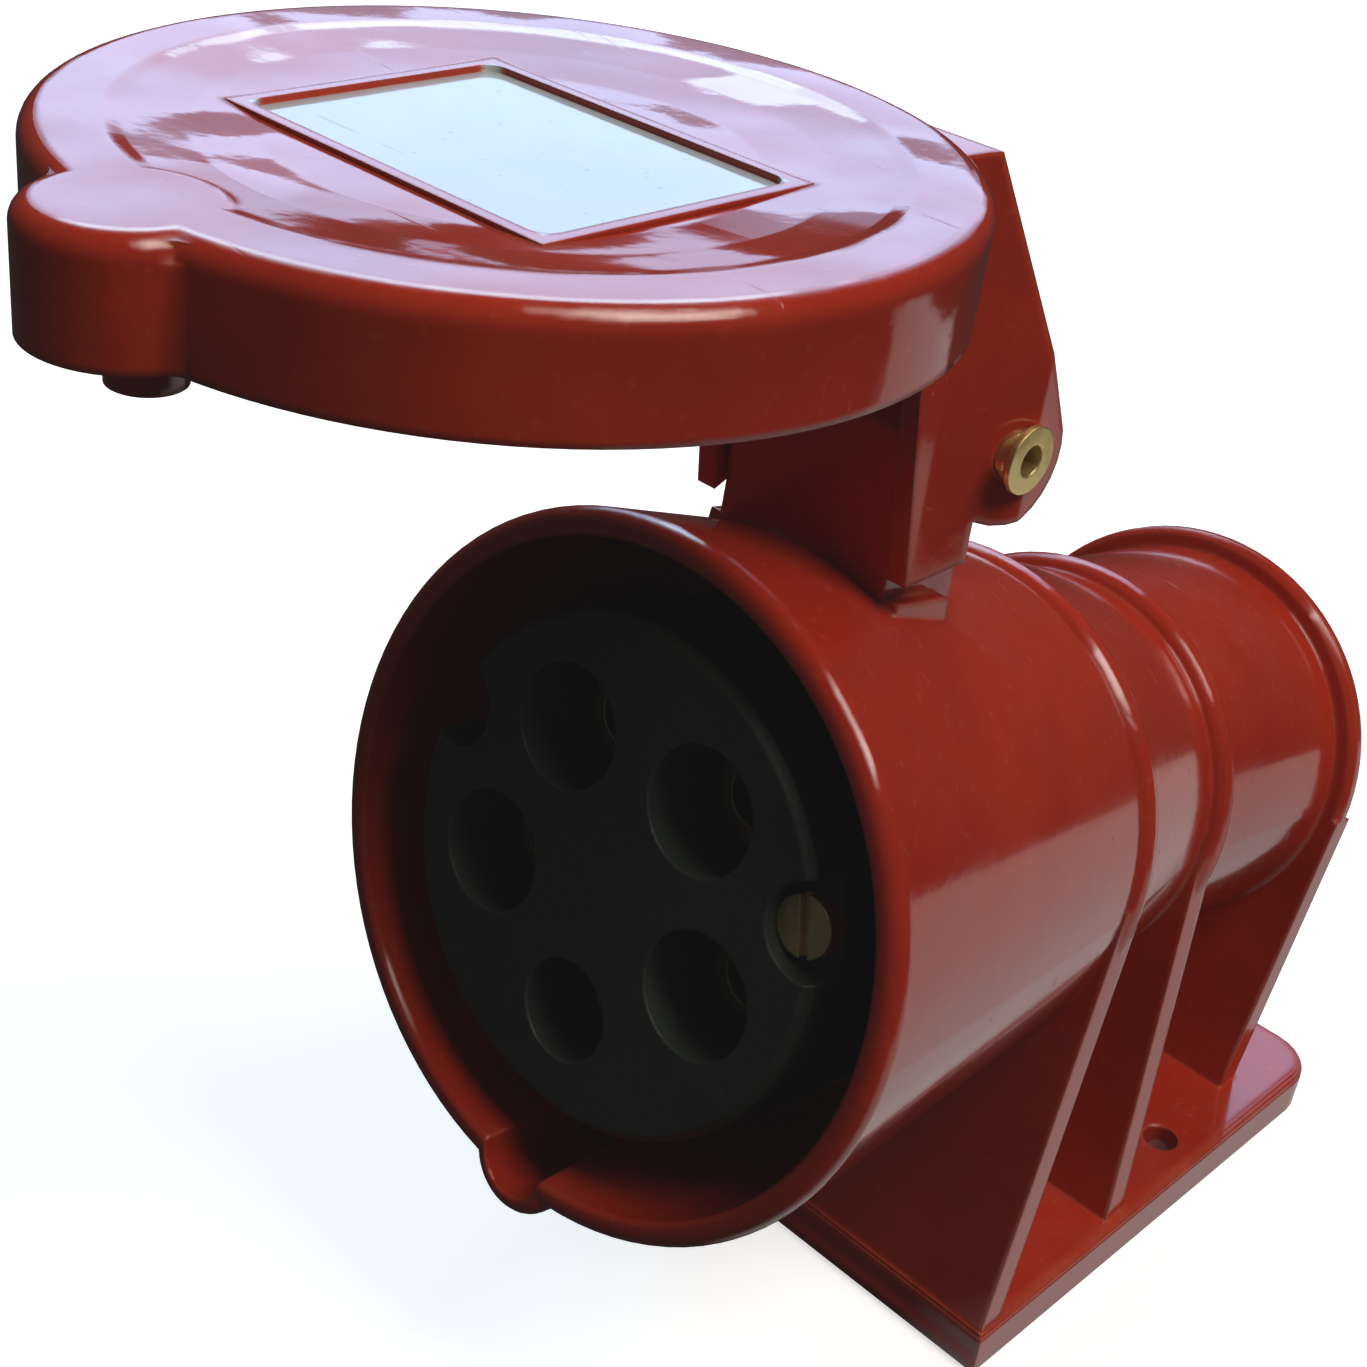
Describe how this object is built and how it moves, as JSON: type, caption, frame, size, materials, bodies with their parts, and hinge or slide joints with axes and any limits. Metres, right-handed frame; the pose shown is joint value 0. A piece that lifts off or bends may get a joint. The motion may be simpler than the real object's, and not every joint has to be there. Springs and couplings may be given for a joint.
{
  "type": "pin-and-sleeve socket outlet",
  "caption": "Surface-mounted pin-and-sleeve power outlet: inclined round barrel on a webbed foot, sprung hinged lid, sleeve contacts in a carrier, rear cable gland.",
  "frame": {"origin": "centre of the foot's underside", "axes": "+Z is the foot's normal, +Y runs from the mouth towards the cable entry, X across; the object is mirror-symmetric about X = 0 except for the contacts' roles"},
  "size_m": [0.0704, 0.1848, 0.1436],
  "materials": {
    "housing_plastic": "glossy moulded red",
    "lid_plastic": "glossy moulded red",
    "label_plastic": "glossy moulded red, blank",
    "black_rubber": "matte black",
    "pin_brass": "satin",
    "spring_steel": "satin",
    "washer_steel": "satin",
    "carrier_plastic": "dark green-black, satin",
    "back_plate_plastic": "dark grey, matte",
    "contact_brass": "satin",
    "screw_brass": "bright",
    "screw_steel": "satin zinc",
    "gland_plastic": "dark grey, matte"
  },
  "bodies": {
    "base": {"housing": "housing_plastic", "hinge_pin": "pin_brass", "hinge_spring": "spring_steel", "hinge_washers": "washer_steel", "carrier": "carrier_plastic", "carrier_back_plate": "back_plate_plastic", "carrier_seal": "black_rubber", "contact_l1": "contact_brass", "contact_l2": "contact_brass", "contact_l3": "contact_brass", "contact_neutral": "contact_brass", "contact_earth": "contact_brass", "contact_rings": "spring_steel", "terminal_screws": "screw_steel", "carrier_screws": "screw_brass", "gland_body": "gland_plastic", "gland_seal": "black_rubber", "gland_locknut": "gland_plastic"},
    "lid": {"lid": "lid_plastic", "lid_gasket": "black_rubber", "label_plate": "label_plastic"},
    "gland_nut": {"gland_nut": "gland_plastic"}
  },
  "joints": [
    {"name": "lid_hinge", "type": "hinge", "parent": "base", "child": "lid", "pos_m": [0, -0.04439, 0.11123], "axis": [1, 0, 0], "range_deg": [0, 78.4]},
    {"name": "gland_nut_turn", "type": "hinge", "parent": "base", "child": "gland_nut", "pos_m": [0, 0.04574, 0.04188], "axis": [0, 0.9763, -0.2164], "continuous": true}
  ]
}
